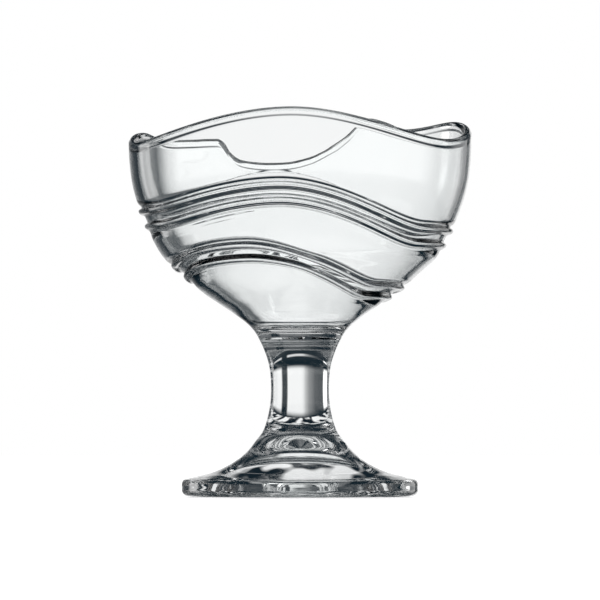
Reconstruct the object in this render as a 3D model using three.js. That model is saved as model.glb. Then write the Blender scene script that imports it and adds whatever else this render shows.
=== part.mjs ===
// Footed dessert glass in clear pressed glass: an open bowl with a waved rim and two waved
// double beads, a solid waisted stem, and a round foot that is hollow underneath.
// Sizes are in millimetres. Z points up, the glass stands on Z = 0 and its front faces -Y.
import * as THREE from 'three';

// Bowl
const rimDiameter = 105.4;
const rimHeight = 112.3;
const rimWaveRise = 4.1;
const wallUnderLip = 2.4;
const wallAtBase = 2.4;
const floorThickness = 4;
const floorFlatRadius = 12;
const bowlJointHeight = 48;
const bowlJointDiameter = 24.8;

// Lip: a little thicker than the wall, inwards, and bevelled to a rounded top
const lipThickness = 2.8;
const lipDepth = 2;
const bevelHeight = 1.4;
const neckLength = 0.9;

// Double beads on the outside of the bowl
const beadWidth = 3;
const beadPitch = 4.95;
const beadRise = 0.6;
const grooveDepth = 0.7;
const grooveFillet = 2.6;
const upperBandHeight = 84.8;
const upperBandWaveRise = 5.95;
const lowerBandHeight = 67.95;
const lowerBandWaveRise = 5.55;

// Stem
const waistDiameter = 17.8;
const waistHeight = 33;

// Foot
const footJointHeight = 20.2;
const footJointDiameter = 22.6;
const footDiameter = 72.6;
const footShoulderHeight = 5.2;
const footEdgeRounding = 2.4;
const standingRingWidth = 9.5;
const hollowHeight = 17;

// Waves: angle in degrees from the front, rightwards, and level as a share of the wave's rise
const rimWave = [
  [-3, 1], [57, -1], [115, 1], [139, 0.72], [149, 1.4], [154.5, 1.68], [157.8, 1.37],
  [163, 0.37], [169.2, -0.48], [176.5, -1.26], [185, -1.67], [192.4, -1.73], [198.5, -1.64],
  [202.3, -1.49], [206.2, -0.95], [208.2, -0.33], [211, 0.05], [224, -0.12], [236, -0.25], [250, 0.12], [288, -1.05],
];
const upperBandWave = [
  [-7, 1], [54, -1], [90, -1], [120, -1], [187, 1.42], [250, 0.05], [270, 0], [295, 0],
];
const lowerBandWave = [
  [-22, 1], [46, -0.97], [78, -1], [116, -1.15], [150, -0.64], [172, 0.06], [203, 1.6],
  [236, 0.62], [262, -0.05], [280, 0.17],
];

// Outline of the outside: shares of the way from one joint to the next, radius and then height
const footShape = [[0.82, 0.073], [0.634, 0.153], [0.412, 0.32], [0.206, 0.563], [0.09, 0.8]];
const flareDown = [0.78, 0.5];
const flareUp = [0.8, 0.49];
const bowlShape = [
  [0.06, 0.0575], [0.17, 0.115], [0.309, 0.173], [0.44, 0.23], [0.613, 0.325],
  [0.742, 0.401], [0.883, 0.574], [0.965, 0.726], [0.994, 0.86], [1, 1], [1, 1.2],
];

// Half the lip from the outside up: shares of half its thickness and of the bevel's height
const lipShape = [
  [1, 0], [0.972, 0.1], [0.842, 0.34], [0.717, 0.57], [0.506, 0.826], [0.2, 0.976], [0, 1],
];

// The fillet over a band, from its edge down: shares of its width and of the groove's depth
const filletShape = [[1, 0], [0.8, 0.035], [0.55, 0.2], [0.28, 0.58]];

// A bead from its groove down: share of its width, and of its rise or of the groove's depth
const beadShape = [[0, -1], [0.22, 0.7], [0.42, 1], [0.62, 0.7], [1, -0.86]];

// The same for the groove under the upper bead, and for the lower bead's run into the wall
const grooveShape = [[1.15, -1], [1.55, -1]];
const runOutShape = [[1.14, -0.36], [1.5, -0.18]];

// The foot's rounded edge from the ring up, and its hollow from the middle out, as shares
const edgeShape = [[0.45, 0.18], [0.12, 0.5], [0, 1]];
const hollowShape = [
  [0, 1], [0.2, 0.94], [0.38, 0.8], [0.55, 0.61], [0.73, 0.38], [0.9, 0.14], [1, 0],
];

const segments = 72;
const stemRows = 14;
const footRows = 14;
const hollowRows = 12;
const insideRows = 15;
const fullTurn = 360;

const rimRadius = rimDiameter / 2;
const bowlJointRadius = bowlJointDiameter / 2;
const footJointRadius = footJointDiameter / 2;
const footRadius = footDiameter / 2;
const waistRadius = waistDiameter / 2;
const shoulderRadius = footRadius - 0.3 * footEdgeRounding;
const standingRadius = footRadius - footEdgeRounding;
const hollowRadius = standingRadius - standingRingWidth;
const floorHeight = bowlJointHeight + floorThickness;

function between(low, high, share) {
  return low + (high - low) * share;
}

// Height of a wave at one angle: level at crests and troughs, smooth through the stops between
function waveAt(wave, rise, angle) {
  const first = wave[0][0];
  const last = wave[wave.length - 1];
  const degrees = THREE.MathUtils.radToDeg(angle);
  const turned = first + THREE.MathUtils.euclideanModulo(degrees - first, fullTurn);
  const stops = [
    [last[0] - fullTurn, last[1]],
    ...wave,
    ...wave.slice(0, 2).map(([at, level]) => [at + fullTurn, level]),
  ];
  const climb = (i) => (stops[i + 1][1] - stops[i][1]) / (stops[i + 1][0] - stops[i][0]);
  const lean = (i) => {
    const before = climb(i - 1);
    const after = climb(i);
    return before * after > 0 ? (2 * before * after) / (before + after) : 0;
  };
  const next = stops.findIndex((stop, i) => i > 1 && stop[0] >= turned);
  const [fromAngle, fromLevel] = stops[next - 1];
  const [toAngle, toLevel] = stops[next];
  const span = toAngle - fromAngle;
  const way = (turned - fromAngle) / span;
  const eased = way * way * (3 - 2 * way);
  const bend = way * (1 - way) * span * ((1 - way) * lean(next - 1) - way * lean(next));
  return rise * (between(fromLevel, toLevel, eased) + bend);
}

// A smooth curve through points in the plane of the section
function smoothThrough(points) {
  const knots = points.map(([r, z]) => new THREE.Vector3(r, z, 0));
  return new THREE.CatmullRomCurve3(knots, false, 'centripetal');
}

// The outside, from the shoulder of the foot up past the rim, without the beads
const outside = smoothThrough([
  [shoulderRadius, footShoulderHeight],
  ...footShape.map(([across, up]) => [
    between(footJointRadius, shoulderRadius, across),
    between(footShoulderHeight, footJointHeight, up),
  ]),
  [footJointRadius, footJointHeight],
  [
    between(footJointRadius, waistRadius, flareDown[0]),
    between(footJointHeight, waistHeight, flareDown[1]),
  ],
  [waistRadius, waistHeight],
  [
    between(bowlJointRadius, waistRadius, flareUp[0]),
    between(bowlJointHeight, waistHeight, flareUp[1]),
  ],
  [bowlJointRadius, bowlJointHeight],
  ...bowlShape.map(([across, up]) => [
    between(bowlJointRadius, rimRadius, across),
    between(bowlJointHeight, rimHeight, up),
  ]),
]);

// Where a rising curve reaches a height
function reach(curve, height) {
  let low = 0;
  let high = 1;
  for (let step = 0; step < 40; step += 1) {
    const middle = (low + high) / 2;
    if (curve.getPoint(middle).y < height) low = middle;
    else high = middle;
  }
  return (low + high) / 2;
}

function wallAt(height) {
  const share = Math.min(1, (height - bowlJointHeight) / (rimHeight - bowlJointHeight));
  return between(wallAtBase, wallUnderLip, share);
}

// The point on the outside at a height, moved out or in along the wall's normal
function onOutside(height, out) {
  const at = reach(outside, height);
  const point = outside.getPoint(at);
  const along = outside.getTangent(at);
  return new THREE.Vector2(point.x + out * along.y, point.y - out * along.x);
}

// The inside: the outside moved in by the wall, closed by a floor that is flat in the middle
const insideTopShare = 1.18;
const inside = smoothThrough([
  [0, floorHeight],
  [floorFlatRadius, floorHeight],
  ...bowlShape.slice(1).map(([, up]) => {
    const height = between(bowlJointHeight, rimHeight, Math.min(up, insideTopShare));
    return onOutside(height, -wallAt(height)).toArray();
  }),
]);

// Length of the outside wall for each millimetre of height
function stretchAt(height) {
  return 1 / outside.getTangent(reach(outside, height)).y;
}

// One band of two beads, from its upper edge down: way from its middle, and rise from the wall
const upperBead = -(beadPitch + beadWidth) / 2;
const lowerBead = upperBead + beadPitch;
const bandHalf = grooveFillet - upperBead;

function onBead(top, shape) {
  return shape.map(([across, out]) => [
    top + beadWidth * across,
    out * (out > 0 ? beadRise : grooveDepth),
  ]);
}

const bandSection = [
  ...filletShape.map(([across, deep]) => [upperBead - grooveFillet * across, -grooveDepth * deep]),
  ...onBead(upperBead, beadShape),
  ...onBead(upperBead, grooveShape),
  ...onBead(lowerBead, beadShape.slice(0, -1)),
  ...onBead(lowerBead, runOutShape),
  [bandHalf, 0],
];

// The band on the wall, from its lower edge up
function bandPoints(middle) {
  const stretch = stretchAt(middle);
  return bandSection.map(([down, rise]) => onOutside(middle - down / stretch, rise)).reverse();
}

// The whole section of the bowl's wall at one angle, from under the floor round the lip to the floor
function bowlSection(angle) {
  const rim = rimHeight + waveAt(rimWave, rimWaveRise, angle);
  const upper = upperBandHeight + waveAt(upperBandWave, upperBandWaveRise, angle);
  const lower = lowerBandHeight + waveAt(lowerBandWave, lowerBandWaveRise, angle);
  const lowerReach = bandHalf / stretchAt(lower);
  const upperReach = bandHalf / stretchAt(upper);
  const plain = (from, to, count) => {
    const heights = Array.from({ length: count }, (_, i) => between(from, to, (i + 1) / (count + 1)));
    return heights.map((height) => onOutside(height, 0));
  };
  const lipRadius = lipThickness / 2;
  const lipHeight = rim - bevelHeight;
  const lipMiddle = onOutside(lipHeight, 0).x - lipRadius;
  const outerLip = lipShape.map(([across, up]) =>
    new THREE.Vector2(lipMiddle + across * lipRadius, lipHeight + up * bevelHeight));
  const innerLip = lipShape.slice(0, -1).map(([across, up]) =>
    new THREE.Vector2(lipMiddle - across * lipRadius, lipHeight + up * bevelHeight));
  const lipEnd = rim - lipDepth;
  const lipEndRadius = inside.getPoint(reach(inside, lipEnd)).x - (lipThickness - wallUnderLip);
  const neck = lipEnd - neckLength;
  const insideTop = reach(inside, neck);
  const well = Array.from({ length: insideRows + 1 }, (_, i) => {
    const point = inside.getPoint(insideTop * (1 - i / insideRows));
    return new THREE.Vector2(Math.max(0, point.x), Math.max(floorHeight, point.y));
  });
  return [
    new THREE.Vector2(0, bowlJointHeight),
    new THREE.Vector2(bowlJointRadius, bowlJointHeight),
    ...plain(bowlJointHeight, lower - lowerReach, 4),
    ...bandPoints(lower),
    ...plain(lower + lowerReach, upper - upperReach, 2),
    ...bandPoints(upper),
    ...plain(upper + upperReach, lipHeight, 4),
    ...outerLip,
    ...innerLip.reverse(),
    new THREE.Vector2(lipEndRadius, lipEnd),
    ...well,
  ];
}

// A round piece: the profile starts and ends on the axis
function turned(profile) {
  const geometry = new THREE.LatheGeometry(profile, segments);
  geometry.rotateX(Math.PI / 2);
  return geometry;
}

const bowlProfile = bowlSection(0);
const bowlGeometry = new THREE.LatheGeometry(bowlProfile, segments);
const corners = bowlGeometry.attributes.position;
for (let column = 0; column <= segments; column += 1) {
  const angle = ((column % segments) / segments) * 2 * Math.PI;
  bowlSection(angle).forEach((point, row) => {
    const corner = column * bowlProfile.length + row;
    corners.setXYZ(corner, point.x * Math.sin(angle), point.y, point.x * Math.cos(angle));
  });
}
bowlGeometry.rotateX(Math.PI / 2);
bowlGeometry.computeVertexNormals();

const stemGeometry = turned([
  new THREE.Vector2(0, footJointHeight),
  new THREE.Vector2(footJointRadius, footJointHeight),
  ...Array.from({ length: stemRows - 1 }, (_, i) =>
    onOutside(between(footJointHeight, bowlJointHeight, (i + 1) / stemRows), 0)),
  new THREE.Vector2(bowlJointRadius, bowlJointHeight),
  new THREE.Vector2(0, bowlJointHeight),
]);

const hollow = smoothThrough(
  hollowShape.map(([across, up]) => [across * hollowRadius, up * hollowHeight]),
);
const edgeTop = footShoulderHeight - 0.35 * footEdgeRounding;
const edgeBottom = 0.9 * footEdgeRounding;
const footTop = reach(outside, footJointHeight);
const footGeometry = turned([
  ...hollow.getPoints(hollowRows).map((point) => new THREE.Vector2(point.x, Math.max(0, point.y))),
  new THREE.Vector2(standingRadius, 0),
  ...edgeShape.map(([across, up]) =>
    new THREE.Vector2(footRadius - across * footEdgeRounding, up * edgeBottom)),
  new THREE.Vector2(footRadius, between(edgeBottom, edgeTop, 0.6)),
  new THREE.Vector2(footRadius - 0.06 * footEdgeRounding, edgeTop),
  ...Array.from({ length: footRows }, (_, i) => {
    const point = outside.getPoint(footTop * (i / footRows));
    return new THREE.Vector2(point.x, point.y);
  }),
  new THREE.Vector2(footJointRadius, footJointHeight),
  new THREE.Vector2(0, footJointHeight),
]);

function clearGlass() {
  return new THREE.MeshStandardMaterial({ color: 0xe9f0f1, roughness: 0.04, metalness: 0 });
}

function piece(name, geometry) {
  const mesh = new THREE.Mesh(geometry, clearGlass());
  mesh.name = name;
  return mesh;
}

const glass = new THREE.Group();
glass.name = 'dessert_glass';
glass.add(piece('bowl', bowlGeometry));
glass.add(piece('stem', stemGeometry));
glass.add(piece('foot', footGeometry));

export default glass;
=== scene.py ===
# Footed dessert glass in clear pressed glass, dressed for its picture
import math

import bmesh
import bpy
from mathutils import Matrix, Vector


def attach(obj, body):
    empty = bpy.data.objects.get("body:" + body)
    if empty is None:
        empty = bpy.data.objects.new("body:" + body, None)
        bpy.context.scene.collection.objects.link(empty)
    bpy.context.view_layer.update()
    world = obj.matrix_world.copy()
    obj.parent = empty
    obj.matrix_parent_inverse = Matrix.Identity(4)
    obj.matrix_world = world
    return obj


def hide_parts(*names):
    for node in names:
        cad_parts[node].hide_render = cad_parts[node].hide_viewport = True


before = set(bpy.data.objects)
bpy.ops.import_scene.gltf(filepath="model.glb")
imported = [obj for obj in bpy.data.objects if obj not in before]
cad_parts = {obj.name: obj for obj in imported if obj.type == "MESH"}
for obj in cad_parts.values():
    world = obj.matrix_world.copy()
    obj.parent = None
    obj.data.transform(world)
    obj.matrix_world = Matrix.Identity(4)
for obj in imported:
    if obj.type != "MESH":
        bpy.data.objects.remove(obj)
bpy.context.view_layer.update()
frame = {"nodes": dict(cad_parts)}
print("frame loaded:", ", ".join(frame["nodes"]))

mm = 0.001
scene = bpy.context.scene
scene.view_settings.view_transform = "Standard"


# sRGB hex to the linear colour that the shaders take
def linear(hexColour):
    channels = [int(hexColour[i:i + 2], 16) / 255 for i in (1, 3, 5)]
    return [c / 12.92 if c <= 0.04045 else ((c + 0.055) / 1.055) ** 2.4 for c in channels] + [1]


# adds one node; an input is either a plain value or the socket that feeds it
def addNode(tree, kind, settings=None, inputs=None):
    node = tree.nodes.new(kind)
    for name, value in (settings or {}).items():
        setattr(node, name, value)
    for name, value in (inputs or {}).items():
        if isinstance(value, bpy.types.NodeSocket):
            tree.links.new(value, node.inputs[name])
        else:
            node.inputs[name].default_value = value
    return node


# the glass, shared by the three pieces

glassLook = {
    "tint": "#fdfefe",        # faint blue-green of the iron in the sand
    "tintDeep": "#fafcfc",
    "ior": 1.52,
    "roughLow": 0.0,
    "roughHigh": 0.012,
    "cloudSize": 9,           # mm, slow change of tint and polish
    "cloudLow": 0.35,         # levels of the cloud between which the polish changes
    "cloudHigh": 0.75,
    "ripplePitch": 7,         # mm, the slow ripple that a chilled mould leaves
    "rippleDepth": 0.004,     # mm
}


# Pressed soda-lime glass, fire-polished: clear, a touch green where it is thick, with a surface
# that is glossy all over and ripples very slightly
def pressedGlass(look):
    material = bpy.data.materials.new("pressed_soda_lime_glass")
    material.use_nodes = True
    tree = material.node_tree
    tree.nodes.clear()
    place = addNode(tree, "ShaderNodeTexCoord").outputs["Object"]
    cloud = addNode(tree, "ShaderNodeTexNoise", None, {
        "Vector": place, "Scale": 1 / (look["cloudSize"] * mm), "Detail": 2}).outputs["Fac"]
    ripple = addNode(tree, "ShaderNodeTexNoise", None, {
        "Vector": place, "Scale": 1 / (look["ripplePitch"] * mm), "Detail": 1}).outputs["Fac"]
    tint = addNode(tree, "ShaderNodeMix", {"data_type": "RGBA"}, {
        0: cloud, 6: linear(look["tint"]), 7: linear(look["tintDeep"])}).outputs[2]
    polish = addNode(tree, "ShaderNodeMapRange", None, {
        "Value": cloud, "From Min": look["cloudLow"], "From Max": look["cloudHigh"],
        "To Min": look["roughLow"], "To Max": look["roughHigh"]}).outputs["Result"]
    skin = addNode(tree, "ShaderNodeBump", None, {
        "Height": ripple, "Strength": 1, "Distance": look["rippleDepth"] * mm}).outputs["Normal"]
    glass = addNode(tree, "ShaderNodeBsdfPrincipled", None, {
        "Base Color": tint, "Roughness": polish, "IOR": look["ior"],
        "Transmission Weight": 1, "Normal": skin})
    addNode(tree, "ShaderNodeOutputMaterial", None, {"Surface": glass.outputs[0]})
    return material


# Where two gathers of glass are fused there is no surface left, so light goes straight through
def fusedJoint():
    material = bpy.data.materials.new("fused_joint")
    material.use_nodes = True
    tree = material.node_tree
    tree.nodes.clear()
    through = addNode(tree, "ShaderNodeBsdfTransparent")
    addNode(tree, "ShaderNodeOutputMaterial", None, {"Surface": through.outputs[0]})
    return material


glassMaterial = pressedGlass(glassLook)
jointMaterial = fusedJoint()
print("glass mixed")


# the outline, from the foot's shoulder over the waist up to the lip

stem = {
    "waistDiameter": 17.8, "waistHeight": 33,            # mm, as are all sizes here
    "bowlJointDiameter": 24.8, "bowlJointHeight": 48,
    "footJointDiameter": 22.6, "footJointHeight": 20.2,
    # shares of radius and height on the way from the bowl, and from the foot, to the waist
    "flareUp": [0.8, 0.49],
    "flareDown": [0.78, 0.5],
    "rows": 150,
}

foot = {
    "diameter": 72.6, "shoulderHeight": 5.2, "edgeRounding": 2.4,
    "standingRing": 9.5, "hollowHeight": 17,
    # shares of the edge's rounding: how high it starts, how far it ends under the shoulder and
    # how far in it leans at its end and at the shoulder; and where the brim is still upright
    "edgeStart": 0.9, "edgeEnd": 0.35, "edgeLean": 0.06, "shoulderLean": 0.3, "brimUpright": 0.6,
    # shares of radius and height, joint to shoulder and shoulder to joint
    "shape": [[0.82, 0.073], [0.634, 0.153], [0.412, 0.32], [0.206, 0.563], [0.09, 0.8]],
    # shares of the hollow's radius and height, from its middle out
    "hollow": [[0, 1], [0.2, 0.94], [0.38, 0.8], [0.55, 0.61], [0.73, 0.38], [0.9, 0.14], [1, 0]],
    "rows": {"hollow": 16, "edge": 24, "brim": 12},
}

bowl = {
    "rimDiameter": 105.4, "rimHeight": 112.3, "rimRise": 4.1,
    "lipThickness": 2.8, "lipDepth": 2, "bevelHeight": 1.4, "neckLength": 0.9,
    # half the lip from the outside up: share of half its thickness, and of the bevel's height
    "lipShape": [
        [1, 0], [0.992, 0.04], [0.972, 0.1], [0.907, 0.22], [0.842, 0.34], [0.779, 0.455], [0.717, 0.57],
        [0.629, 0.707], [0.506, 0.826], [0.36, 0.917], [0.2, 0.976], [0, 1]],
    "wallUnderLip": 2.4, "wallAtBase": 2.4, "floorThickness": 4, "floorFlat": 12,
    "beadWidth": 3, "beadPitch": 4.95, "beadRise": 0.6, "grooveDepth": 0.7, "grooveFillet": 2.6,
    # the fillet over a band, from its edge down: share of its width, and of the groove's depth
    "filletShape": [[1, 0], [0.8, 0.035], [0.55, 0.2], [0.28, 0.58]],
    # a bead from its groove down: share of its width, and of its rise or of the groove's depth
    "beadShape": [[0, -1], [0.22, 0.7], [0.42, 1], [0.62, 0.7], [1, -0.86]],
    # the same for the groove under the upper bead, and for the lower bead's run into the wall
    "grooveShape": [[1.15, -1], [1.55, -1]],
    "runOutShape": [[1.14, -0.36], [1.5, -0.18]],
    "upperHeight": 84.8, "upperRise": 5.95, "lowerHeight": 67.95, "lowerRise": 5.55,
    # shares of radius and height from the joint to the rim
    "shape": [
        [0.06, 0.0575], [0.17, 0.115], [0.309, 0.173], [0.44, 0.23], [0.613, 0.325], [0.742, 0.401],
        [0.883, 0.574], [0.965, 0.726], [0.994, 0.86], [1, 1], [1, 1.2]],
    # waves: degrees from the front, rightwards, and share of the wave's rise
    "rimWave": [
        [-3, 1], [57, -1], [115, 1], [139, 0.72], [149, 1.4], [154.5, 1.68], [157.8, 1.37], [163, 0.37],
        [169.2, -0.48], [176.5, -1.26], [185, -1.67], [192.4, -1.73], [198.5, -1.64], [202.3, -1.49],
        [206.2, -0.95], [208.2, -0.33], [211, 0.05], [224, -0.12], [236, -0.25], [250, 0.12], [288, -1.05]],
    "upperWave": [
        [-7, 1], [54, -1], [90, -1], [120, -1], [187, 1.42], [250, 0.05], [270, 0], [295, 0]],
    "lowerWave": [
        [-22, 1], [46, -0.97], [78, -1], [116, -1.15], [150, -0.64], [172, 0.06], [203, 1.6], [236, 0.62],
        [262, -0.05], [280, 0.17]],
    # rows of faces in each stretch of the wall, from under the floor over the lip to the floor
    "rows": {
        "base": 26, "lowerBand": 96, "panel": 10, "upperBand": 96, "side": 30, "lip": 44, "inside": 72},
    "insideEase": 1.6,       # crowds the rows of the inside under the lip
    "weld": 0.002,           # mm, closes the grid where its two sides meet
}

columns = 256
fullTurn = 360       # degrees


def between(low, high, share):
    return low + (high - low) * share


# a smooth line through points, as a draughtsman's spline runs
def splineThrough(points, steps):
    knots = [Vector(point) for point in points]
    knots = [2 * knots[0] - knots[1]] + knots + [2 * knots[-1] - knots[-2]]
    line = []
    for p0, p1, p2, p3 in zip(knots, knots[1:], knots[2:], knots[3:]):
        t1 = (p1 - p0).length ** 0.5
        t2 = t1 + (p2 - p1).length ** 0.5
        t3 = t2 + (p3 - p2).length ** 0.5
        for step in range(steps):
            t = between(t1, t2, step / steps)
            a1 = p0.lerp(p1, t / t1)
            a2 = p1.lerp(p2, (t - t1) / (t2 - t1))
            a3 = p2.lerp(p3, (t - t2) / (t3 - t2))
            b1 = a1.lerp(a2, t / t2)
            b2 = a2.lerp(a3, (t - t1) / (t3 - t1))
            line.append(b1.lerp(b2, (t - t1) / (t2 - t1)))
    return line + [knots[-2]]


# radius of a rising line at a height
def radiusAt(line, height):
    for low, high in zip(line, line[1:]):
        if low.y <= height <= high.y:
            return between(low.x, high.x, (height - low.y) / max(high.y - low.y, 1e-9))
    return line[-1].x if height > line[-1].y else line[0].x


rimRadius = bowl["rimDiameter"] / 2
bowlJointRadius = stem["bowlJointDiameter"] / 2
footJointRadius = stem["footJointDiameter"] / 2
waistRadius = stem["waistDiameter"] / 2
footRadius = foot["diameter"] / 2
shoulderRadius = footRadius - foot["shoulderLean"] * foot["edgeRounding"]
floorHeight = stem["bowlJointHeight"] + bowl["floorThickness"]

footPoints = [(shoulderRadius, foot["shoulderHeight"])]
for across, up in foot["shape"]:
    footPoints.append((
        between(footJointRadius, shoulderRadius, across),
        between(foot["shoulderHeight"], stem["footJointHeight"], up)))
stemPoints = [
    (footJointRadius, stem["footJointHeight"]),
    (between(footJointRadius, waistRadius, stem["flareDown"][0]),
     between(stem["footJointHeight"], stem["waistHeight"], stem["flareDown"][1])),
    (waistRadius, stem["waistHeight"]),
    (between(bowlJointRadius, waistRadius, stem["flareUp"][0]),
     between(stem["bowlJointHeight"], stem["waistHeight"], stem["flareUp"][1])),
]
bowlPoints = [(bowlJointRadius, stem["bowlJointHeight"])]
for across, up in bowl["shape"]:
    bowlPoints.append((
        between(bowlJointRadius, rimRadius, across),
        between(stem["bowlJointHeight"], bowl["rimHeight"], up)))

lineSteps = 80
outside = splineThrough(footPoints + stemPoints + bowlPoints, lineSteps)
print("outline drawn:", len(outside), "points")


# the bowl: a grid of turns and rows that a tree of nodes folds into the waved wall

# level of a wave: it is level at each crest and trough, and runs smoothly through the stops between
def waveAt(stops, turn):
    last, first = stops[-1], stops[0]
    again = [[angle + fullTurn, level] for angle, level in stops[:2]]
    stops = [[last[0] - fullTurn, last[1]]] + stops + again
    turned = first[0] + (turn * fullTurn - first[0]) % fullTurn
    i = next(i for i in range(1, len(stops) - 1) if turned <= stops[i + 1][0])
    climbs = [(high[1] - low[1]) / (high[0] - low[0]) for low, high in zip(stops, stops[1:])]
    leans = []
    for before, after in ((climbs[i - 1], climbs[i]), (climbs[i], climbs[i + 1])):
        leans.append(2 * before * after / (before + after) if before * after > 0 else 0)
    span = stops[i + 1][0] - stops[i][0]
    way = (turned - stops[i][0]) / span
    eased = way * way * (3 - 2 * way)
    bend = way * (1 - way) * span * ((1 - way) * leans[0] - way * leans[1])
    return between(stops[i][1], stops[i + 1][1], eased) + bend


# an upright line whose own radius, point by point, is the radius of a wall
def radiusLine(name, count, radiusOf):
    curve = bpy.data.curves.new(name, "CURVE")
    curve.dimensions = "3D"
    spline = curve.splines.new("POLY")
    spline.points.add(count)
    for i, point in enumerate(spline.points):
        point.co = (0, 0, i / count, 1)
        point.radius = radiusOf(i / count) * mm
    line = bpy.data.objects.new(name, curve)
    scene.collection.objects.link(line)
    return line


lineTop = bowl["rimHeight"] * 1.09     # mm, the lines run on past the highest crest
insideReach = 1.09                     # the same for the inside, as a share of the root of its height
insideTop = 1.18                       # share of the bowl's height at which the inside's last point lies
linePoints = 1600
leanStep = 0.1                         # mm up and down, over which the lean of the wall is taken


def outsideRadius(share):
    return radiusAt(outside, between(stem["bowlJointHeight"], lineTop, share))


insidePoints = [(0, floorHeight), (bowl["floorFlat"], floorHeight)]
for across, up in bowl["shape"][1:]:
    share = min(up, insideTop)
    height = between(stem["bowlJointHeight"], bowl["rimHeight"], share)
    widening = radiusAt(outside, height + leanStep) - radiusAt(outside, height - leanStep)
    lean = widening / (2 * leanStep)
    wall = between(bowl["wallAtBase"], bowl["wallUnderLip"], min(1, share)) / math.hypot(1, lean)
    insidePoints.append((radiusAt(outside, height) - wall, height + wall * lean))
insideLine = splineThrough(insidePoints, lineSteps)


def insideRadius(share):
    rise = (bowl["rimHeight"] - floorHeight) * (share * insideReach) ** 2
    return radiusAt(insideLine, floorHeight + rise) if share > 0 else 0


wallLine = radiusLine("wallLine", linePoints, outsideRadius)
wellLine = radiusLine("wellLine", linePoints, insideRadius)


# radius and lean of the outside at a height
def wallTree():
    tree = bpy.data.node_groups.new("bowlWall", "GeometryNodeTree")
    tree.interface.new_socket("Height", in_out="INPUT", socket_type="NodeSocketFloat")
    for name in ("Radius", "Out", "Down"):
        tree.interface.new_socket(name, in_out="OUTPUT", socket_type="NodeSocketFloat")
    given = addNode(tree, "NodeGroupInput").outputs
    line = addNode(tree, "GeometryNodeObjectInfo", None, {"Object": wallLine}).outputs["Geometry"]
    own = addNode(tree, "GeometryNodeInputRadius").outputs[0]
    span = (lineTop - stem["bowlJointHeight"]) * mm
    step = 0.15 * mm
    radii = []
    for shift in (-step, 0, step):
        share = addNode(tree, "ShaderNodeMapRange", None, {
            "Value": given["Height"], "From Min": stem["bowlJointHeight"] * mm - shift,
            "From Max": stem["bowlJointHeight"] * mm + span - shift}).outputs[0]
        sampled = addNode(tree, "GeometryNodeSampleCurve", {"data_type": "FLOAT", "use_all_curves": True}, {
            0: line, 1: own, "Factor": share})
        radii.append(sampled.outputs[0])
    widening = addNode(tree, "ShaderNodeMath", {"operation": "SUBTRACT"}, {
        0: radii[2], 1: radii[0]}).outputs[0]
    lean = addNode(tree, "ShaderNodeMath", {"operation": "DIVIDE"}, {0: widening, 1: 2 * step}).outputs[0]
    square = addNode(tree, "ShaderNodeMath", {"operation": "MULTIPLY_ADD"}, {
        0: lean, 1: lean, 2: 1}).outputs[0]
    out = addNode(tree, "ShaderNodeMath", {"operation": "INVERSE_SQRT"}, {0: square}).outputs[0]
    down = addNode(tree, "ShaderNodeMath", {"operation": "MULTIPLY"}, {0: lean, 1: out}).outputs[0]
    addNode(tree, "NodeGroupOutput", None, {"Radius": radii[1], "Out": out, "Down": down})
    return tree


# section of a band of two beads, from its upper edge down: mm from its middle, and mm out from the wall
def bandSection():
    width, fillet, groove = bowl["beadWidth"], bowl["grooveFillet"], bowl["grooveDepth"]
    upper = -(bowl["beadPitch"] + width) / 2
    lower = upper + bowl["beadPitch"]
    section = [(upper - fillet * across, -groove * deep) for across, deep in bowl["filletShape"]]
    upperBead = bowl["beadShape"] + bowl["grooveShape"]
    lowerBead = bowl["beadShape"][:-1] + bowl["runOutShape"]
    for top, shape in ((upper, upperBead), (lower, lowerBead)):
        for across, out in shape:
            section.append((top + width * across, out * (bowl["beadRise"] if out > 0 else groove)))
    return section + [(fillet - upper, 0)]


bandHalf = bandSection()[-1][0]      # mm, from the middle of a band to its edges


# rise of a band above the wall: share of the way across it, from its lower edge up
def beadTree():
    tree = bpy.data.node_groups.new("doubleBead", "GeometryNodeTree")
    tree.interface.new_socket("Across", in_out="INPUT", socket_type="NodeSocketFloat")
    tree.interface.new_socket("Rise", in_out="OUTPUT", socket_type="NodeSocketFloat")
    given = addNode(tree, "NodeGroupInput").outputs
    section = addNode(tree, "ShaderNodeFloatCurve", None, {"Value": given["Across"]})
    marks = []
    for across, out in reversed(bandSection()):
        marks.append(((bandHalf - across) / (2 * bandHalf), (out + 1) / 2))
    drawCurve(section, marks, "AUTO_CLAMPED")
    rise = addNode(tree, "ShaderNodeMapRange", None, {
        "Value": section.outputs[0], "To Min": -mm, "To Max": mm}).outputs[0]
    addNode(tree, "NodeGroupOutput", None, {"Rise": rise})
    return tree


# sets the marks of a Float Curve, which runs straight between them unless a handle is named
def drawCurve(curveNode, marks, handle="VECTOR"):
    curve = curveNode.mapping.curves[0]
    for spot in marks[1:-1]:
        curve.points.new(*spot)
    curve.points[0].location, curve.points[len(marks) - 1].location = marks[0], marks[-1]
    for point in curve.points:
        point.handle_type = handle
    curveNode.mapping.update()


bowlInputs = {
    "Rim Height": bowl["rimHeight"], "Rim Rise": bowl["rimRise"],
    "Upper Height": bowl["upperHeight"], "Upper Rise": bowl["upperRise"],
    "Lower Height": bowl["lowerHeight"], "Lower Rise": bowl["lowerRise"],
    "Base Height": stem["bowlJointHeight"], "Floor Height": floorHeight,
    "Lip Thickness": bowl["lipThickness"],
    "Lip Bulge": bowl["lipThickness"] - bowl["wallUnderLip"],
    "Bevel Height": bowl["bevelHeight"], "Lip Depth": bowl["lipDepth"],
    "Neck Length": bowl["neckLength"], "Band Half": bandHalf,
}


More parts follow.
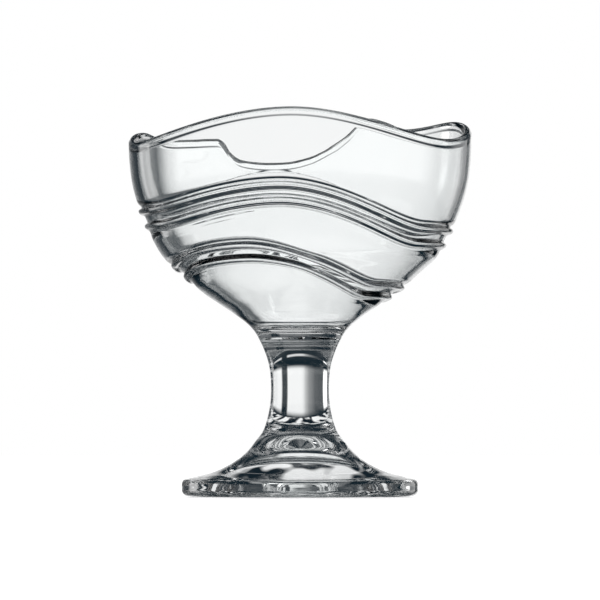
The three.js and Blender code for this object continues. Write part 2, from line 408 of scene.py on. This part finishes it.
def bowlTree():
    tree = bpy.data.node_groups.new("wavedBowl", "GeometryNodeTree")
    for name in bowlInputs:
        tree.interface.new_socket(name, in_out="INPUT", socket_type="NodeSocketFloat")
    tree.interface.new_socket("Glass", in_out="INPUT", socket_type="NodeSocketMaterial")
    tree.interface.new_socket("Geometry", in_out="OUTPUT", socket_type="NodeSocketGeometry")
    given = addNode(tree, "NodeGroupInput").outputs
    wall, bead = wallTree(), beadTree()

    # one grid: across it the turn round the axis, up it the way along the section
    rows = sum(bowl["rows"].values())
    grid = addNode(tree, "GeometryNodeMeshGrid", None, {
        "Size X": 1, "Size Y": 1, "Vertices X": columns + 1, "Vertices Y": rows + 1}).outputs["Mesh"]
    place = addNode(tree, "GeometryNodeInputPosition").outputs[0]
    spot = addNode(tree, "ShaderNodeSeparateXYZ", None, {0: place}).outputs
    turn = addNode(tree, "ShaderNodeMath", {"operation": "ADD"}, {0: spot["X"], 1: 0.5}).outputs[0]
    angle = addNode(tree, "ShaderNodeMath", {"operation": "MULTIPLY"}, {
        0: turn, 1: 2 * math.pi}).outputs[0]
    way = {}                    # how far a row is along each stretch, 0 to 1
    start = 0
    for name, count in bowl["rows"].items():
        way[name] = addNode(tree, "ShaderNodeMapRange", None, {
            "Value": spot["Y"], "From Min": start / rows - 0.5,
            "From Max": (start + count) / rows - 0.5}).outputs[0]
        start += count

    # the three waves round the bowl; a curve holds 0 to 1, a wave's level runs from -2 to 2
    crest = {}
    for name, stops in (("Rim", "rimWave"), ("Upper", "upperWave"), ("Lower", "lowerWave")):
        wave = addNode(tree, "ShaderNodeFloatCurve", None, {"Value": turn})
        turns = [i / columns for i in range(columns + 1)]
        drawCurve(wave, [(share, (waveAt(bowl[stops], share) + 2) / 4) for share in turns])
        level = addNode(tree, "ShaderNodeMath", {"operation": "MULTIPLY_ADD"}, {
            0: wave.outputs[0], 1: 4, 2: -2}).outputs[0]
        crest[name] = addNode(tree, "ShaderNodeMath", {"operation": "MULTIPLY_ADD"}, {
            0: level, 1: given[name + " Rise"], 2: given[name + " Height"]}).outputs[0]
    lipRadius = addNode(tree, "ShaderNodeMath", {"operation": "MULTIPLY"}, {
        0: given["Lip Thickness"], 1: 0.5}).outputs[0]
    lipHeight = addNode(tree, "ShaderNodeMath", {"operation": "SUBTRACT"}, {
        0: crest["Rim"], 1: given["Bevel Height"]}).outputs[0]

    # up the outside: a row's height, and the beads' rise from the plain wall
    height = given["Base Height"]
    last = given["Base Height"]
    rises = []
    easedBase = addNode(tree, "ShaderNodeMath", {"operation": "MULTIPLY"}, {
        0: way["base"], 1: way["base"]}).outputs[0]
    for name, before, band in (("Lower", easedBase, "lowerBand"), ("Upper", way["panel"], "upperBand")):
        out = addNode(tree, "GeometryNodeGroup", {"node_tree": wall}, {"Height": crest[name]}).outputs["Out"]
        half = addNode(tree, "ShaderNodeMath", {"operation": "MULTIPLY"}, {
            0: given["Band Half"], 1: out}).outputs[0]
        low = addNode(tree, "ShaderNodeMath", {"operation": "SUBTRACT"}, {
            0: crest[name], 1: half}).outputs[0]
        plain = addNode(tree, "ShaderNodeMath", {"operation": "SUBTRACT"}, {0: low, 1: last}).outputs[0]
        height = addNode(tree, "ShaderNodeMath", {"operation": "MULTIPLY_ADD"}, {
            0: plain, 1: before, 2: height}).outputs[0]
        whole = addNode(tree, "ShaderNodeMath", {"operation": "MULTIPLY"}, {0: half, 1: 2}).outputs[0]
        height = addNode(tree, "ShaderNodeMath", {"operation": "MULTIPLY_ADD"}, {
            0: whole, 1: way[band], 2: height}).outputs[0]
        last = addNode(tree, "ShaderNodeMath", {"operation": "ADD"}, {0: crest[name], 1: half}).outputs[0]
        rises.append(addNode(tree, "GeometryNodeGroup", {"node_tree": bead}, {
            "Across": way[band]}).outputs["Rise"])
    plain = addNode(tree, "ShaderNodeMath", {"operation": "SUBTRACT"}, {0: lipHeight, 1: last}).outputs[0]
    height = addNode(tree, "ShaderNodeMath", {"operation": "MULTIPLY_ADD"}, {
        0: plain, 1: way["side"], 2: height}).outputs[0]
    rise = addNode(tree, "ShaderNodeMath", {"operation": "ADD"}, {0: rises[0], 1: rises[1]}).outputs[0]
    here = addNode(tree, "GeometryNodeGroup", {"node_tree": wall}, {"Height": height}).outputs
    outer = addNode(tree, "ShaderNodeMath", {"operation": "MULTIPLY_ADD"}, {
        0: rise, 1: here["Out"], 2: here["Radius"]}).outputs[0]
    sunk = addNode(tree, "ShaderNodeMath", {"operation": "MULTIPLY"}, {0: rise, 1: here["Down"]}).outputs[0]
    outerHeight = addNode(tree, "ShaderNodeMath", {"operation": "SUBTRACT"}, {0: height, 1: sunk}).outputs[0]

    # over the lip: up one bevel to the rounded top and down the other
    over = addNode(tree, "ShaderNodeMath", {"operation": "MULTIPLY_ADD"}, {
        0: way["lip"], 1: 2, 2: -1}).outputs[0]
    aside = addNode(tree, "ShaderNodeMath", {"operation": "ABSOLUTE"}, {0: over}).outputs[0]
    upLip = addNode(tree, "ShaderNodeMath", {"operation": "SUBTRACT"}, {0: 1, 1: aside}).outputs[0]
    lip = []
    for part in (0, 1):
        curve = addNode(tree, "ShaderNodeFloatCurve", None, {"Value": upLip})
        steps = len(bowl["lipShape"]) - 1
        drawCurve(curve, [(i / steps, share[part]) for i, share in enumerate(bowl["lipShape"])])
        lip.append(curve.outputs[0])
    isOver = addNode(tree, "ShaderNodeMath", {"operation": "SIGN"}, {0: over}).outputs[0]
    lipOut = addNode(tree, "ShaderNodeMath", {"operation": "MULTIPLY"}, {0: lip[0], 1: isOver}).outputs[0]
    lipIn = addNode(tree, "ShaderNodeMath", {"operation": "ADD"}, {0: lipOut, 1: 1}).outputs[0]
    lipShift = addNode(tree, "ShaderNodeMath", {"operation": "MULTIPLY"}, {0: lipIn, 1: lipRadius}).outputs[0]
    outer = addNode(tree, "ShaderNodeMath", {"operation": "SUBTRACT"}, {0: outer, 1: lipShift}).outputs[0]
    outerHeight = addNode(tree, "ShaderNodeMath", {"operation": "MULTIPLY_ADD"}, {
        0: lip[1], 1: given["Bevel Height"], 2: outerHeight}).outputs[0]

    # down the inside: height falls with the square of the row, so that the floor comes out round
    deep = addNode(tree, "ShaderNodeMath", {"operation": "SUBTRACT"}, {
        0: lipHeight, 1: given["Floor Height"]}).outputs[0]
    meanDeep = addNode(tree, "ShaderNodeMath", {"operation": "SUBTRACT"}, {
        0: given["Rim Height"], 1: given["Floor Height"]}).outputs[0]
    fill = addNode(tree, "ShaderNodeMath", {"operation": "DIVIDE"}, {0: deep, 1: meanDeep}).outputs[0]
    root = addNode(tree, "ShaderNodeMath", {"operation": "SQRT"}, {0: fill}).outputs[0]
    eased = addNode(tree, "ShaderNodeMath", {"operation": "POWER"}, {
        0: way["inside"], 1: bowl["insideEase"]}).outputs[0]
    left = addNode(tree, "ShaderNodeMath", {"operation": "SUBTRACT"}, {0: 1, 1: eased}).outputs[0]
    depthRoot = addNode(tree, "ShaderNodeMath", {"operation": "MULTIPLY"}, {0: root, 1: left}).outputs[0]
    depthShare = addNode(tree, "ShaderNodeMath", {"operation": "MULTIPLY"}, {
        0: depthRoot, 1: depthRoot}).outputs[0]
    innerHeight = addNode(tree, "ShaderNodeMath", {"operation": "MULTIPLY_ADD"}, {
        0: depthShare, 1: meanDeep, 2: given["Floor Height"]}).outputs[0]
    factor = addNode(tree, "ShaderNodeMath", {"operation": "DIVIDE"}, {
        0: depthRoot, 1: insideReach}).outputs[0]
    well = addNode(tree, "GeometryNodeObjectInfo", None, {"Object": wellLine}).outputs["Geometry"]
    own = addNode(tree, "GeometryNodeInputRadius").outputs[0]
    inner = addNode(tree, "GeometryNodeSampleCurve", {"data_type": "FLOAT", "use_all_curves": True}, {
        0: well, 1: own, "Factor": factor}).outputs[0]
    lipEnd = addNode(tree, "ShaderNodeMath", {"operation": "SUBTRACT"}, {
        0: crest["Rim"], 1: given["Lip Depth"]}).outputs[0]
    neck = addNode(tree, "ShaderNodeMath", {"operation": "SUBTRACT"}, {
        0: lipEnd, 1: given["Neck Length"]}).outputs[0]
    bulge = addNode(tree, "ShaderNodeMapRange", {"interpolation_type": "SMOOTHSTEP"}, {
        "Value": innerHeight, "From Min": neck, "From Max": lipEnd,
        "To Max": given["Lip Bulge"]}).outputs[0]
    inner = addNode(tree, "ShaderNodeMath", {"operation": "SUBTRACT"}, {0: inner, 1: bulge}).outputs[0]

    # bend the grid round the axis
    isInside = addNode(tree, "ShaderNodeMath", {"operation": "GREATER_THAN"}, {
        0: way["inside"], 1: 0}).outputs[0]
    radius = addNode(tree, "ShaderNodeMix", None, {0: isInside, 2: outer, 3: inner}).outputs[0]
    z = addNode(tree, "ShaderNodeMix", None, {0: isInside, 2: outerHeight, 3: innerHeight}).outputs[0]
    sine = addNode(tree, "ShaderNodeMath", {"operation": "SINE"}, {0: angle}).outputs[0]
    cosine = addNode(tree, "ShaderNodeMath", {"operation": "COSINE"}, {0: angle}).outputs[0]
    x = addNode(tree, "ShaderNodeMath", {"operation": "MULTIPLY"}, {0: radius, 1: sine}).outputs[0]
    back = addNode(tree, "ShaderNodeMath", {"operation": "MULTIPLY"}, {0: radius, 1: cosine}).outputs[0]
    y = addNode(tree, "ShaderNodeMath", {"operation": "MULTIPLY"}, {0: back, 1: -1}).outputs[0]
    point = addNode(tree, "ShaderNodeCombineXYZ", None, {0: x, 1: y, 2: z}).outputs[0]
    bent = addNode(tree, "GeometryNodeSetPosition", None, {"Geometry": grid, "Position": point}).outputs[0]
    closed = addNode(tree, "GeometryNodeMergeByDistance", None, {
        "Geometry": bent, "Distance": bowl["weld"] * mm}).outputs[0]
    smooth = addNode(tree, "GeometryNodeSetShadeSmooth", None, {0: closed}).outputs[0]
    real = addNode(tree, "GeometryNodeRealizeInstances", None, {0: smooth}).outputs[0]
    dressed = addNode(tree, "GeometryNodeSetMaterial", None, {
        "Geometry": real, "Material": given["Glass"]}).outputs[0]
    addNode(tree, "NodeGroupOutput", None, {"Geometry": dressed})
    return tree


# closes an open ring of a piece with the fused joint, and keeps the shading of the wall clean
def capRing(mesh, ring):
    face = mesh.faces.new(ring)
    face.material_index = 1
    face.smooth = False
    for edge in face.edges:
        edge.smooth = False


def finishPiece(name, mesh, node):
    mesh.name = name
    for material in (glassMaterial, jointMaterial):
        if material.name not in mesh.materials:
            mesh.materials.append(material)
    piece = bpy.data.objects.new(name, mesh)
    scene.collection.objects.link(piece)
    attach(piece, "root")
    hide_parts(node)
    print(name, "made:", len(mesh.polygons), "faces")


def makeBowl():
    blank = bpy.data.objects.new("bowlBlank", bpy.data.meshes.new("bowlBlank"))
    scene.collection.objects.link(blank)
    modifier = blank.modifiers.new("wavedBowl", "NODES")
    modifier.node_group = bowlTree()
    for item in modifier.node_group.interface.items_tree:
        if item.in_out == "INPUT" and item.name in bowlInputs:
            modifier[item.identifier] = bowlInputs[item.name] * mm
        elif item.in_out == "INPUT":
            modifier[item.identifier] = glassMaterial
    depsgraph = bpy.context.evaluated_depsgraph_get()
    mesh = bpy.data.meshes.new_from_object(blank.evaluated_get(depsgraph))
    blank.modifiers.remove(modifier)
    for helper in (blank, wallLine, wellLine):
        bpy.data.objects.remove(helper)
    work = bmesh.new()
    work.from_mesh(mesh)
    openEdges = [edge for edge in work.edges if edge.is_boundary]
    openVerts = {v for edge in openEdges for v in edge.verts}
    ring = sorted(openVerts, key=lambda v: math.atan2(v.co.x, -v.co.y))
    capRing(work, ring[::-1])
    work.to_mesh(mesh)
    work.free()
    finishPiece("bowl_glass", mesh, "bowl")


# a round piece turned from its outline; an open end is closed by the joint
def makeTurned(name, outline, node):
    work = bmesh.new()
    rings = []
    for radius, height in outline:
        if radius < 1e-6:
            rings.append([work.verts.new((0, 0, height * mm))] * columns)
            continue
        rings.append([])
        for column in range(columns):
            turn = 2 * math.pi * column / columns
            spot = (radius * math.sin(turn) * mm, -radius * math.cos(turn) * mm, height * mm)
            rings[-1].append(work.verts.new(spot))
    for low, high in zip(rings, rings[1:]):
        for column in range(columns):
            beside = (column + 1) % columns
            corners = [low[column], low[beside], high[beside], high[column]]
            face = work.faces.new(list(dict.fromkeys(corners)))
            face.smooth = True
    if len(set(rings[0])) > 1:
        capRing(work, rings[0][::-1])
    if len(set(rings[-1])) > 1:
        capRing(work, rings[-1])
    mesh = bpy.data.meshes.new(name)
    work.to_mesh(mesh)
    work.free()
    finishPiece(name, mesh, node)


nearJoint = 0.02      # mm, a thin first row so that the shading runs on over a joint


def makeStem():
    low, high = stem["footJointHeight"], stem["bowlJointHeight"]
    heights = [low, low + nearJoint]
    heights += [between(low, high, i / stem["rows"]) for i in range(1, stem["rows"])]
    heights += [high - nearJoint, high]
    makeTurned("stem_glass", [(radiusAt(outside, z), z) for z in heights], "stem")


def makeFoot():
    edge, rows = foot["edgeRounding"], foot["rows"]
    standing = footRadius - edge
    hollowRadius = standing - foot["standingRing"]
    edgeBottom, edgeTop = foot["edgeStart"] * edge, foot["shoulderHeight"] - foot["edgeEnd"] * edge
    underPoints = [(r * hollowRadius, z * foot["hollowHeight"]) for r, z in foot["hollow"]]
    under = splineThrough(underPoints, rows["hollow"])
    outline = [(point.x, max(0, point.y)) for point in under]
    for i in range(rows["edge"] + 1):                     # the rounded edge from the ring to the brim
        turn = math.pi / 2 * i / rows["edge"]
        outline.append((standing + edge * math.sin(turn), edgeBottom * (1 - math.cos(turn))))
    brim = [
        (footRadius, edgeBottom), (footRadius, between(edgeBottom, edgeTop, foot["brimUpright"])),
        (footRadius - foot["edgeLean"] * edge, edgeTop), (shoulderRadius, foot["shoulderHeight"])]
    joint = next(i for i, point in enumerate(outside) if point.y >= stem["footJointHeight"])
    top = [(point.x, point.y) for point in outside[:joint]]
    # the brim is drawn on to the first point of the foot's top, so that it runs into it smoothly
    slab = splineThrough(brim + [top[lineSteps]], rows["brim"])[1:-rows["brim"]]
    outline += [(point.x, point.y) for point in slab]
    outline += top[1::4]
    low = stem["footJointHeight"]
    outline += [(radiusAt(outside, low - nearJoint), low - nearJoint), (footJointRadius, low)]
    makeTurned("foot_glass", outline, "foot")


makeBowl()
makeStem()
makeFoot()


# floor, light and camera

stage = {
    "floorSize": 12, "floorColour": "#f4f4f4",      # m
    "floorGap": 0.3,                                # mm under the foot
    "floorLift": 0.35,                              # light of its own, up to the white of the room
    "nearFloor": 75,                                # mm from the glass, as far as it shows in the foot
    # painted shade: dark streaks that it shows there to the glass alone, their size in mm, and the levels of
    # the noise between which they fade
    "streakWidth": 9, "streakLength": 40, "paintedShadeStreakColour": "#141f27", "streakFade": [0.44, 0.56],
    "cameraBack": 1.535, "cameraHeight": 0.0155, "aimHeight": 0.0603, "lens": 300,
}


def paleFloorAndPaintedStreaks():
    material = bpy.data.materials.new("pale_floor_and_painted_streaks")
    material.use_nodes = True
    tree = material.node_tree
    tree.nodes.clear()
    rays = addNode(tree, "ShaderNodeLightPath").outputs
    glassy = addNode(tree, "ShaderNodeMath", {"operation": "MAXIMUM"}, {
        0: rays["Is Glossy Ray"], 1: rays["Is Transmission Ray"]}).outputs[0]
    seen = addNode(tree, "ShaderNodeMath", {"operation": "LESS_THAN"}, {
        0: rays["Diffuse Depth"], 1: 0.5}).outputs[0]
    lift = addNode(tree, "ShaderNodeMath", {"operation": "MULTIPLY"}, {
        0: seen, 1: stage["floorLift"]}).outputs[0]
    paper = addNode(tree, "ShaderNodeBsdfDiffuse", None, {"Color": linear(stage["floorColour"])})
    glow = addNode(tree, "ShaderNodeEmission", None, {"Color": (1, 1, 1, 1), "Strength": lift})
    both = addNode(tree, "ShaderNodeAddShader", None, {0: paper.outputs[0], 1: glow.outputs[0]})
    # seen through the foot, close by, the floor glows with painted shade and light in streaks, in place of
    # the studio's dark and light; farther off the glass sees through it
    place = addNode(tree, "ShaderNodeTexCoord").outputs["Object"]
    spot = addNode(tree, "ShaderNodeVectorMath", {"operation": "MULTIPLY"}, {
        0: place, 1: (1 / (stage["streakWidth"] * mm), 1 / (stage["streakLength"] * mm), 1)}).outputs[0]
    noise = addNode(tree, "ShaderNodeTexNoise", None, {
        "Vector": spot, "Scale": 1, "Detail": 1}).outputs["Fac"]
    streak = addNode(tree, "ShaderNodeMapRange", None, {
        "Value": noise, "From Min": stage["streakFade"][0], "From Max": stage["streakFade"][1]}).outputs[0]
    tone = addNode(tree, "ShaderNodeMix", {"data_type": "RGBA"}, {
        0: streak, 6: linear(stage["paintedShadeStreakColour"]), 7: (1, 1, 1, 1)}).outputs[2]
    # painted streaks of shade and light, glowing for the glass alone
    mirrored = addNode(tree, "ShaderNodeEmission", None, {"Color": tone, "Strength": 1})
    near = addNode(tree, "ShaderNodeMath", {"operation": "LESS_THAN"}, {
        0: rays["Ray Length"], 1: stage["nearFloor"] * mm}).outputs[0]
    direct = addNode(tree, "ShaderNodeMath", {"operation": "LESS_THAN"}, {
        0: rays["Glossy Depth"], 1: 0.5}).outputs[0]
    inFoot = addNode(tree, "ShaderNodeMath", {"operation": "MULTIPLY"}, {0: near, 1: direct}).outputs[0]
    gone = addNode(tree, "ShaderNodeBsdfTransparent")
    behindGlass = addNode(tree, "ShaderNodeMixShader", None, {
        0: inFoot, 1: gone.outputs[0], 2: mirrored.outputs[0]})
    shown = addNode(tree, "ShaderNodeMixShader", None, {
        0: glassy, 1: both.outputs[0], 2: behindGlass.outputs[0]})
    addNode(tree, "ShaderNodeOutputMaterial", None, {"Surface": shown.outputs[0]})
    return material


def makeFloor():
    half = stage["floorSize"] / 2
    z = -stage["floorGap"] * mm
    mesh = bpy.data.meshes.new("floor")
    corners = [(-half, -half, z), (half, -half, z), (half, half, z), (-half, half, z)]
    mesh.from_pydata(corners, [], [(0, 1, 2, 3)])
    mesh.materials.append(paleFloorAndPaintedStreaks())
    floor = bpy.data.objects.new("floor", mesh)
    scene.collection.objects.link(floor)


# A white room for the eye and for the light on the floor. Only glass sees the rest: painted reflections of
# the white screens and dark cards that a studio stands round clear glass, which light nothing, so that its
# edges are drawn dark on white.
room = {
    "paintedCardColour": "#16242c",
    # degrees from straight behind the glass, rightwards, level, and level that thick glass shows; the strip
    # at 2.2 is a painted highlight that lights nothing
    "around": [
        (-172, 1), (-166, 0), (-150, 0), (-142, 1), (-128, 1), (-121, 0), (-105, 0),
        (-97, 1), (-83, 1), (-76, 0), (-60, 0), (-58, 2.2), (-45, 2.2), (-40, 0.03, 0.02),
        (-22, 0.1, 0.08), (-12, 0.2, 0.28), (-6.6, 0.12, 0.62), (-5.2, 1, 0.85), (-2, 1), (17, 1),
        (18.5, 0), (27, 0), (29, 1), (51, 1), (60, 0), (76, 0), (83, 1), (97, 1), (105, 0), (121, 0),
        (128, 1), (142, 1)],
    # degrees above the horizon, and the same two levels
    "up": [
        (-90, 1.1, 0), (-17, 1.1, 0), (-13, 1.1, 0.97), (12, 1.1, 0.97), (17, 0), (26.5, 0),
        (27.5, 0, 0.8), (29, 0, 0.8), (30, 0), (47, 0), (52, 0.3, 0.9), (58, 0.8, 0.9), (75, 0.8, 0.9),
        (90, 0.5)],
    # painted shade on the light that glass throws back: the level left once in thick glass, and more than
    # once
    "thrownOnce": 0.16, "thrownOften": 0.85,
    # a painted dark card low behind the glass, which the glass alone sees, in the way a card lying on the
    # floor there would show
    "paintedLowCard": [(-90, 1), (-61, 1), (-58, 0), (-38, 0), (-35, 1), (90, 1)],
    "tableWidth": 44, "tableFade": 3,      # degrees
    "front": [90, 105],                    # degrees round, where the front of the room begins
}


def drawLevels(rampNode, stops, reach, thick):
    marks = rampNode.color_ramp.elements
    while len(marks) > 1:
        marks.remove(marks[-1])
    for i, stop in enumerate(stops):
        spot = (stop[0] + reach) / (2 * reach)
        level = stop[-1] if thick else stop[1]
        mark = marks.new(spot) if i else marks[0]
        mark.position = spot
        mark.color = (level, level, level, 1)


def makeRoom():
    world = bpy.data.worlds.new("whiteRoom")
    scene.world = world
    world.use_nodes = True
    tree = world.node_tree
    tree.nodes.clear()
    rays = addNode(tree, "ShaderNodeLightPath").outputs
    bent = addNode(tree, "ShaderNodeMath", {"operation": "MAXIMUM"}, {
        0: rays["Is Glossy Ray"], 1: rays["Is Transmission Ray"]}).outputs[0]
    seen = addNode(tree, "ShaderNodeMath", {"operation": "LESS_THAN"}, {
        0: rays["Diffuse Depth"], 1: 0.5}).outputs[0]
    glassy = addNode(tree, "ShaderNodeMath", {"operation": "MULTIPLY"}, {0: bent, 1: seen}).outputs[0]
    way = addNode(tree, "ShaderNodeTexCoord").outputs["Generated"]
    part = addNode(tree, "ShaderNodeSeparateXYZ", None, {0: way}).outputs
    turn = addNode(tree, "ShaderNodeMath", {"operation": "ARCTAN2"}, {
        0: part["X"], 1: part["Y"]}).outputs[0]
    turnShare = addNode(tree, "ShaderNodeMath", {"operation": "MULTIPLY_ADD"}, {
        0: turn, 1: 0.5 / math.pi, 2: 0.5}).outputs[0]
    tilt = addNode(tree, "ShaderNodeMath", {"operation": "ARCSINE"}, {0: part["Z"]}).outputs[0]
    tiltShare = addNode(tree, "ShaderNodeMath", {"operation": "MULTIPLY_ADD"}, {
        0: tilt, 1: 1 / math.pi, 2: 0.5}).outputs[0]
    # a ramp for thin glass, and a second one where thick glass shows other levels: painted shade and light,
    # chosen by the depth of the ray
    ramps = {}
    for name, share, reach, kinds in (
            ("around", turnShare, 180, 2), ("up", tiltShare, 90, 2), ("paintedLowCard", tiltShare, 90, 1)):
        ramps[name] = []
        for thick in range(kinds):
            ramp = addNode(tree, "ShaderNodeValToRGB", None, {0: share})
            drawLevels(ramp, room[name], reach, thick)
            ramps[name].append(ramp.outputs[0])
    # thick glass is glass that the light crosses once, or is thrown back in
    once = addNode(tree, "ShaderNodeMath", {"operation": "LESS_THAN"}, {
        0: rays["Transmission Depth"], 1: 3.5}).outputs[0]
    thrown = addNode(tree, "ShaderNodeMath", {"operation": "GREATER_THAN"}, {
        0: rays["Glossy Depth"], 1: 0.5}).outputs[0]
    thick = addNode(tree, "ShaderNodeMath", {"operation": "MAXIMUM"}, {0: once, 1: thrown}).outputs[0]
    height = addNode(tree, "ShaderNodeMix", None, {
        0: thick, 2: ramps["up"][0], 3: ramps["up"][1]}).outputs[0]
    screens = addNode(tree, "ShaderNodeMix", None, {
        0: thick, 2: ramps["around"][0], 3: ramps["around"][1]}).outputs[0]
    aside = addNode(tree, "ShaderNodeMath", {"operation": "ABSOLUTE"}, {0: turn}).outputs[0]
    behind = addNode(tree, "ShaderNodeMapRange", None, {
        "Value": aside, "From Min": math.radians(room["tableWidth"] / 2 - room["tableFade"]),
        "From Max": math.radians(room["tableWidth"] / 2 + room["tableFade"]),
        "To Min": 1, "To Max": 0}).outputs[0]
    # painted shade: the low card, for glass alone
    paintedLowCard = addNode(tree, "ShaderNodeMix", None, {0: behind, 2: 1, 3: ramps["paintedLowCard"][0]}).outputs[0]
    # mirrored in the front of the glass, the room is one even white
    front = addNode(tree, "ShaderNodeMapRange", None, {
        "Value": aside, "From Min": math.radians(room["front"][0]),
        "From Max": math.radians(room["front"][1])}).outputs[0]
    mirrored = addNode(tree, "ShaderNodeMath", {"operation": "MULTIPLY"}, {
        0: front, 1: rays["Is Glossy Ray"]}).outputs[0]
    cards = addNode(tree, "ShaderNodeMix", None, {0: mirrored, 2: screens, 3: 1}).outputs[0]
    tall = addNode(tree, "ShaderNodeMath", {"operation": "MULTIPLY"}, {0: height, 1: paintedLowCard}).outputs[0]
    inside = addNode(tree, "ShaderNodeMath", {"operation": "GREATER_THAN"}, {
        0: rays["Transmission Depth"], 1: 0.5}).outputs[0]
    solid = addNode(tree, "ShaderNodeMath", {"operation": "MULTIPLY"}, {0: inside, 1: once}).outputs[0]
    inSolid = addNode(tree, "ShaderNodeMath", {"operation": "MULTIPLY"}, {
        0: solid, 1: thrown}).outputs[0]
    often = addNode(tree, "ShaderNodeMath", {"operation": "GREATER_THAN"}, {
        0: rays["Glossy Depth"], 1: 1.5}).outputs[0]
    # painted shade: light thrown back inside thick glass is dimmed
    paintedShadeOnce = addNode(tree, "ShaderNodeMix", None, {0: inSolid, 2: 1, 3: room["thrownOnce"]}).outputs[0]
    paintedShade = addNode(tree, "ShaderNodeMix", None, {0: often, 2: paintedShadeOnce, 3: room["thrownOften"]}).outputs[0]
    whole = addNode(tree, "ShaderNodeMath", {"operation": "MULTIPLY"}, {0: cards, 1: tall}).outputs[0]
    level = addNode(tree, "ShaderNodeMath", {"operation": "MULTIPLY"}, {0: whole, 1: paintedShade}).outputs[0]
    # what glass alone sees: painted reflections of cards and screens, from the card's colour up to white and
    # past it
    studio = addNode(tree, "ShaderNodeMix", {"data_type": "RGBA", "clamp_factor": False}, {
        0: level, 6: linear(room["paintedCardColour"]), 7: (1, 1, 1, 1)}).outputs[2]
    shade = addNode(tree, "ShaderNodeMix", {"data_type": "RGBA"}, {
        0: glassy, 6: (1, 1, 1, 1), 7: studio}).outputs[2]
    light = addNode(tree, "ShaderNodeBackground", None, {"Color": shade, "Strength": 1})
    addNode(tree, "ShaderNodeOutputWorld", None, {"Surface": light.outputs[0]})


def makeCamera():
    camera = bpy.data.objects.new("camera", bpy.data.cameras.new("camera"))
    camera.data.lens = stage["lens"]
    camera.location = (0, -stage["cameraBack"], stage["cameraHeight"])
    aim = Vector((0, 0, stage["aimHeight"])) - camera.location
    camera.rotation_euler = aim.to_track_quat("-Z", "Y").to_euler()
    scene.collection.objects.link(camera)
    scene.camera = camera


makeFloor()
makeRoom()
makeCamera()
scene.cycles.max_bounces = 32
scene.cycles.transmission_bounces = 32
scene.cycles.glossy_bounces = 12
scene.cycles.transparent_max_bounces = 32
print("stage set")
